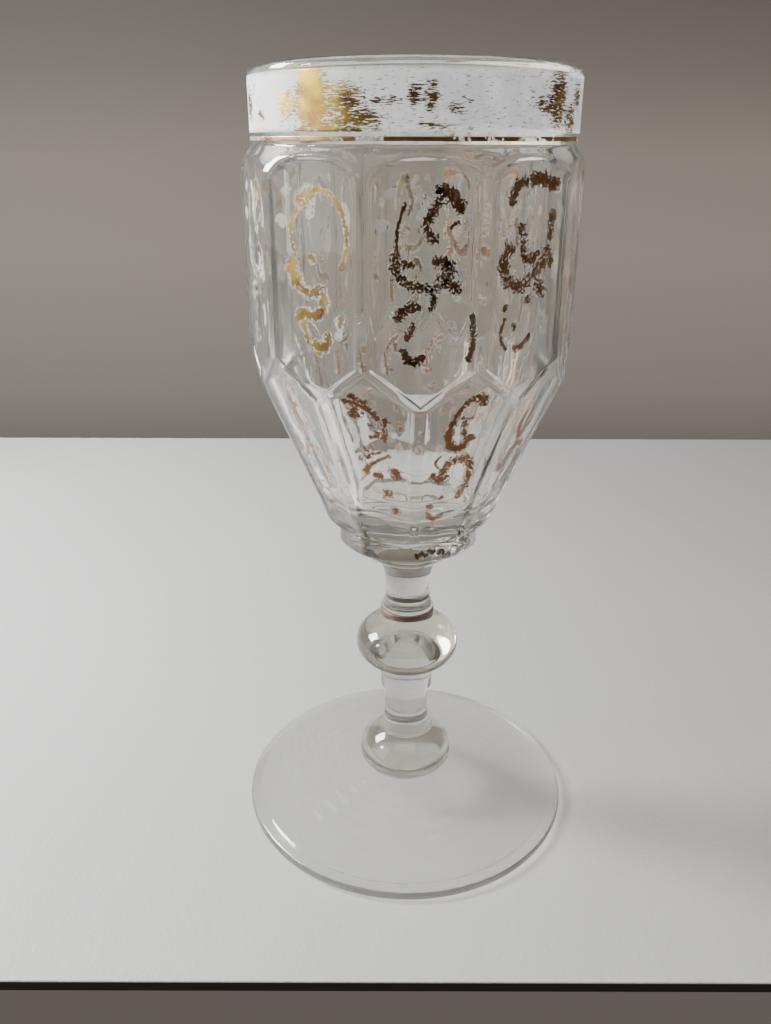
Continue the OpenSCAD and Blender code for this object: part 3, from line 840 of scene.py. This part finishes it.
def stroke_mesh(width, points, keep, lumps):
    """One stroke as a low dome with round ends: points on the flat, heights, faces and cover."""
    line = through(points)
    way = np.gradient(line, axis=0)
    way /= np.linalg.norm(way, axis=1)[:, None] + 1e-9
    line = np.concatenate([[line[0] - way[0] * width * END_REACH], line,
                           [line[-1] + way[-1] * width * END_REACH]])
    way = np.concatenate([[way[0]], way, [way[-1]]])
    side = np.stack([-way[:, 1], way[:, 0]], 1)
    count = len(line)
    lump = 1 + 0.16 * np.sin(np.arange(count) * 0.9 + lumps) + 0.1 * np.sin(
        np.arange(count) * 2.3 + 2 * lumps)
    half = width * STROKE_SPREAD * lump
    half[0] *= END_WIDTH
    half[-1] *= END_WIDTH
    flat, high, cover = [], [], []
    for i in range(count):
        end = END_GOLD if i in (0, count - 1) else 1.0
        for across, dome, gold in zip(STROKE_ACROSS, STROKE_DOME, STROKE_COVER):
            flat.append(line[i] + side[i] * half[i] * across)
            high.append(LIFT + STROKE_THICKNESS * dome)
            cover.append(gold * keep * end)
    under = len(flat)
    lines = len(STROKE_ACROSS)
    last = (count - 1) * lines
    faces = []
    for a in range(0, last, lines):
        b = a + lines
        for n in range(lines - 1):
            faces.append((a + n, b + n, b + n + 1, a + n + 1))
            faces.append((under + a + n + 1, under + b + n + 1, under + b + n, under + a + n))
        faces.append((a, under + a, under + b, b))
        a, b = a + lines - 1, b + lines - 1
        faces.append((b, under + b, under + a, a))
    for n in range(lines - 1):
        a, b = n, last + n
        faces.append((a, a + 1, under + a + 1, under + a))
        faces.append((b + 1, b, under + b, under + b + 1))
    return flat * 2, high + [LIFT] * under, faces, cover * 2


def scroll(name, node, strokes, ghosts, wear, turn, distance, lean_angle, z_middle, material,
           seed):
    """All strokes of one motif, laid on its panel. wear is the least gold that a stroke keeps,
    and ghosts are the strokes that have lost all of it."""
    chance = random.Random(seed)
    points, faces, cover, left = [], [], [], []
    along = Vector((math.cos(turn), math.sin(turn), 0))
    out = Vector((math.sin(turn), -math.cos(turn), 0))
    up = out * math.sin(lean_angle) + Vector((0, 0, math.cos(lean_angle)))
    normal = out * math.cos(lean_angle) - Vector((0, 0, math.sin(lean_angle)))
    middle = out * distance + Vector((0, 0, z_middle)) - normal * PANEL_DEPTH
    for number, (width, line) in enumerate(strokes + ghosts):
        keep = chance.uniform(wear, MOST_GOLD) if number < len(strokes) else 0.0
        flat, high, made, gold = stroke_mesh(width, line, keep, chance.uniform(0, 6))
        start = len(points)
        points += [tuple(middle + along * float(x) + up * float(y) + normal * h)
                   for (x, y), h in zip(flat, high)]
        faces += [tuple(start + i for i in face) for face in made]
        cover += gold
        shade_edge_and_bare_print = PRINT_AT_EDGE if keep else PRINT_ALONE
        left += [PRINT_UNDER if c else shade_edge_and_bare_print for c in gold]
    film_piece(name, node, points, faces, cover, left, material, smooth=False)


upper_gold = gilding("Upper scroll gold", (0.55, 0.28, 0.09), (0.34, 0.145, 0.07),
                     (0.78, 0.77, 0.76), print_alpha=0.42, grain_scale=2300,
                     roughness=(0.24, 0.4), painted_glow=0.18, ragged=5.0)
# Painted light: a lighter, yellower copy of the upper scroll gold, for the panels on the left and
# behind that face the windows
window_lit_gold = gilding("Window-lit scroll gold", (0.60, 0.41, 0.10), (0.36, 0.21, 0.08),
                    (0.78, 0.77, 0.76), print_alpha=0.42, grain_scale=2300,
                    roughness=(0.24, 0.4), painted_glow=0.18, ragged=5.0)
lower_gold = gilding("Lower scroll gold", (0.40, 0.17, 0.055), (0.24, 0.095, 0.045),
                     (0.84, 0.83, 0.82), print_alpha=0.35, grain_scale=2300,
                     roughness=(0.28, 0.42), ragged=5.0)
# Which drawing each panel has. The first upper panel faces -Y, and they run on towards +X.
UPPER_KINDS = [0, 1, 2, 0, 1, 0, 2, 1, 0, 2]
LOWER_KINDS = [0, 0, 1, 0, 1, 1, 0, 1, 0, 1]
# The least gold that a stroke keeps, on the front panels and on the more worn ones behind
FRONT_WEAR, BACK_WEAR = 0.85, 0.35
z_upper = z_turn + (z_rim - z_turn) / 2 + 0.6
z_lower = z_taper + (z_turn - z_taper) / 2 + 1.6
for i in range(PANELS):
    front = i in (0, 1, 9)
    # The back and left upper panels take the lighter copy of the gold, painted light
    scroll(f"Upper_scroll_{i + 1}", f"upper_scroll_{i + 1}", UPPER_SCROLLS[UPPER_KINDS[i]],
           UPPER_GHOSTS, FRONT_WEAR if front else BACK_WEAR, 2 * HALF_PITCH * i, panel_distance,
           0, z_upper, upper_gold if i < PANELS / 2 else window_lit_gold, 100 + i)
    front = i in (0, 9)
    distance = panel_distance - lean_slope * (z_turn - z_lower)
    scroll(f"Lower_scroll_{i + 1}", f"lower_scroll_{i + 1}", LOWER_SCROLLS[LOWER_KINDS[i]],
           LOWER_GHOSTS, FRONT_WEAR if front else BACK_WEAR, 2 * HALF_PITCH * (i + 0.5), distance,
           lean, z_lower, lower_gold, 200 + i)

# ---------------------------------------------------------------------------
# Collar flecks. Three dabs of the same fired gold as the scrolls, laid straight on the glass: the
# last of what once covered one facet of the collar.
# ---------------------------------------------------------------------------
FLECKS = [(1.0, [(-2.6, -0.4), (-1.2, 0.0), (-0.4, -0.5)]), (1.1, [(0.2, 0.5), (1.2, 0.3)]),
          (0.8, [(2.0, -0.4), (2.8, 0.2), (3.2, -0.3)])]
facet_distance = COLLAR_CORNER * math.cos(HALF_PITCH) + PANEL_DEPTH
scroll("Collar_gilt", "collar_gilt", FLECKS, [], 0.8, HALF_PITCH + COLLAR_TURN, facet_distance, 0,
       edge_top - COLLAR_EDGE / 2, upper_gold, 7)

# ---------------------------------------------------------------------------
# Table, backdrop, light and camera. A pale painted board whose front face is near-black,
# painted shade along its edge, and a grey wall that gives off its own painted light, darker low
# down and high up. The scene is lit from the left by a broad soft window, a small high one and a
# glint beside it, with a little light from a window behind and from overhead.
# ---------------------------------------------------------------------------
TABLE_BACK = 0.277
TABLE_FRONT = -0.0575
TABLE_HALF = 1.1
TABLE_TOP = -0.00004
TABLE_THICK = 0.0025
TABLE_EDGE = 0.0003
# The camera stands a little to the left, and the board and the wall are square to it
VIEW_TURN = math.atan2(0.0305, 0.9995)
WALL_DISTANCE = 0.36
WALL_HALF = 2.5
WALL_LOW, WALL_HIGH = -0.6, 1.6


def stage_sheet(name, corners, faces, materials):
    """Part of the room, turned to face the camera."""
    cos, sin = math.cos(VIEW_TURN), math.sin(VIEW_TURN)
    corners = [(x * cos + y * sin, y * cos - x * sin, z) for x, y, z in corners]
    sheet = new_piece(name, corners, faces, materials)
    return sheet


paint, tree, shader = new_material("Pale table")
place = tree.nodes.new("ShaderNodeNewGeometry").outputs["Position"]
mottle = noise(tree, place, 700, 4, 0.6)
cloud = noise(tree, place, 9, 2, 0.5)
tree.links.new(colour_mix(tree, cloud, (0.47, 0.47, 0.47), (0.54, 0.54, 0.54)),
               shader.inputs["Base Color"])
shader.inputs["Roughness"].default_value = 0.62
raise_surface(tree, shader, mottle, 0.00012)
# Painted shade: the board's front face is near-black, standing in for the shadow along its edge
shade_edge_and_bare_print, tree, shader = new_material("Shade-painted edge")
shader.inputs["Base Color"].default_value = (0.035, 0.032, 0.028, 1)
shader.inputs["Roughness"].default_value = 0.8

profile = [(TABLE_BACK, TABLE_TOP - TABLE_THICK), (TABLE_BACK, TABLE_TOP)]
profile += [(TABLE_FRONT + TABLE_EDGE * (1 - math.sin(a)),
             TABLE_TOP - TABLE_EDGE * (1 - math.cos(a))) for a in np.linspace(0, math.pi / 2, 7)]
profile += [(TABLE_FRONT, TABLE_TOP - TABLE_THICK)]
corners = [(x, y, z) for x in (-TABLE_HALF, TABLE_HALF) for y, z in profile]
size = len(profile)
faces = [(i, i + size, (i + 1) % size + size, (i + 1) % size) for i in range(size)]
table = stage_sheet("Table", corners, faces, [paint, shade_edge_and_bare_print])
table.data.polygons[size - 2].material_index = 1

# Painted light: the wall gives off its own light. It is darkest low down and high up, and lightest
# about nine centimetres above the table, a painted fall-off rather than lamp light.
glowing_wall, tree, shader = new_material("Grey wall with painted light")
shader.inputs["Roughness"].default_value = 0.9
place = tree.nodes.new("ShaderNodeNewGeometry").outputs["Position"]
parts = tree.nodes.new("ShaderNodeSeparateXYZ")
tree.links.new(place, parts.inputs[0])
ramp = tree.nodes.new("ShaderNodeValToRGB")
rise = tree.nodes.new("ShaderNodeMapRange")
rise.inputs["From Min"].default_value = -0.1
rise.inputs["From Max"].default_value = 0.3
tree.links.new(parts.outputs["Z"], rise.inputs["Value"])
tree.links.new(rise.outputs[0], ramp.inputs[0])
stops = [(0.12, (0.12, 0.105, 0.09)), (0.19, (0.15, 0.132, 0.112)), (0.26, (0.20, 0.176, 0.150)),
         (0.47, (0.26, 0.222, 0.187)), (0.60, (0.235, 0.20, 0.165)), (0.72, (0.145, 0.122, 0.101)),
         (0.85, (0.085, 0.071, 0.058))]
ramp.color_ramp.elements.remove(ramp.color_ramp.elements[1])
for i, (at, colour) in enumerate(stops):
    stop = ramp.color_ramp.elements[0] if i == 0 else ramp.color_ramp.elements.new(at)
    stop.position = at
    stop.color = (*colour, 1)
tree.links.new(ramp.outputs[0], shader.inputs["Emission Color"])
shader.inputs["Emission Strength"].default_value = 1.0
shader.inputs["Base Color"].default_value = (0.02, 0.02, 0.02, 1)
corners = [(x, WALL_DISTANCE, z) for x, z in (
    (-WALL_HALF, WALL_LOW), (WALL_HALF, WALL_LOW), (WALL_HALF, WALL_HIGH), (-WALL_HALF, WALL_HIGH))]
stage_sheet("Wall", corners, [(0, 1, 2, 3)], [glowing_wall])

# The room: dim towards the front and below, lighter overhead and to the left
world = bpy.data.worlds.new("Room")
bpy.context.scene.world = world
world.use_nodes = True
tree = world.node_tree
toward = tree.nodes.new("ShaderNodeTexCoord").outputs["Generated"]
parts = tree.nodes.new("ShaderNodeSeparateXYZ")
tree.links.new(toward, parts.inputs[0])
up = scale_and_add(tree, parts.outputs["Z"], 1.3, -0.12, True)
left_side = scale_and_add(tree, parts.outputs["X"], -0.5, 0.5, True)
back_side = scale_and_add(tree, parts.outputs["Y"], 0.9, 0.45, True)
glow = math_node(tree, "MULTIPLY", up, math_node(tree, "ADD", left_side, 0.35))
glow = math_node(tree, "MULTIPLY", glow, 0.62)
level = math_node(tree, "MULTIPLY", back_side, 0.16)
glow = math_node(tree, "ADD", glow, math_node(tree, "ADD", level, 0.055))
tree.links.new(colour_mix(tree, glow, (0, 0, 0), (1.0, 0.965, 0.925)),
               tree.nodes["Background"].inputs["Color"])
tree.nodes["Background"].inputs["Strength"].default_value = 1.0

# The lamps face the middle of the stem. Each has a place, a width and height, a power and a
# colour.
LAMP_TARGET = Vector((0, 0, 0.06))


def window(name, where, size, power, colour):
    """A lamp as large as the window whose light it stands for."""
    lamp = bpy.data.lights.new(name, "AREA")
    lamp.shape = "RECTANGLE"
    lamp.size, lamp.size_y = size
    lamp.energy = power
    lamp.color = colour
    holder = bpy.data.objects.new(name, lamp)
    holder.location = where
    aim = LAMP_TARGET - Vector(where)
    holder.rotation_euler = aim.to_track_quat("-Z", "Y").to_euler()
    bpy.context.scene.collection.objects.link(holder)


window("Left window", (-0.54, -0.12, 0.27), (0.50, 0.44), 0.9, (1.0, 0.98, 0.93))
window("High window", (-0.36, 0.10, 0.29), (0.12, 0.16), 4.6, (1.0, 0.995, 0.985))
window("Glint", (-0.42, -0.09, 0.29), (0.04, 0.07), 0.5, (1.0, 1.0, 1.0))
window("Back window", (-0.45, 0.22, 0.50), (0.4, 0.3), 0.6, (1.0, 0.995, 0.99))
window("Ceiling", (-0.05, -0.60, 0.95), (0.9, 0.6), 1.0, (1.0, 0.99, 0.98))

VIEW_PITCH = math.radians(22.99)
VIEW_ROLL = 0.0027
lens = bpy.data.cameras.new("Camera")
lens.sensor_width = 36.0
lens.lens = 30.740625
lens.clip_start = 0.01
camera = bpy.data.objects.new("Camera", lens)
camera.location = (-0.01048, -0.17719, 0.1494)
camera.matrix_world = (Matrix.Translation(camera.location)
                       @ Matrix.Rotation(-VIEW_TURN, 4, "Z")
                       @ Matrix.Rotation(math.pi / 2 - VIEW_PITCH, 4, "X")
                       @ Matrix.Rotation(VIEW_ROLL, 4, "Z"))
bpy.context.scene.collection.objects.link(camera)
bpy.context.scene.camera = camera
